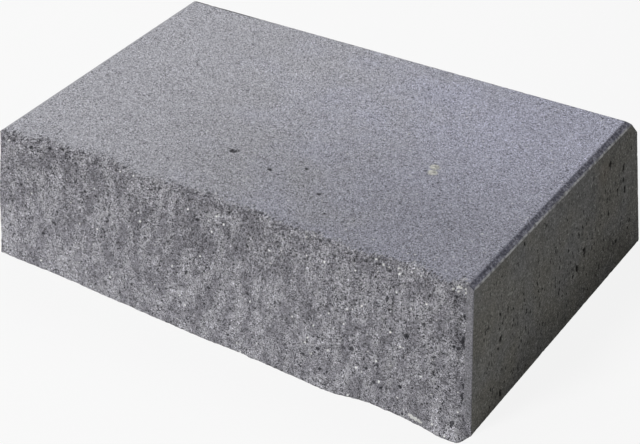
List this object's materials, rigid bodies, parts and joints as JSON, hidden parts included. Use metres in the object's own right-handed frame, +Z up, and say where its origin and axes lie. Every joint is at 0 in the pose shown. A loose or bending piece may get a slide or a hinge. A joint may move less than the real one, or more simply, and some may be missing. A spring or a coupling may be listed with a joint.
{
  "type": "split-face concrete step",
  "caption": "Solid cast concrete step block with a flat tread, eased end and back edges and a rough split front face, laid on a level bed as one rise of a garden stair.",
  "frame": {"origin": "middle of the mould's footprint on the flat bed face, level with the floor", "axes": "+X along the front towards the end with the moulded corner strip, +Y from the split front to the back, +Z up from the bed to the tread"},
  "size_m": [0.548, 0.4049, 0.15],
  "materials": {
    "concrete": "matte"
  },
  "bodies": {
    "root": {"step_block": "concrete"}
  },
  "joints": []
}
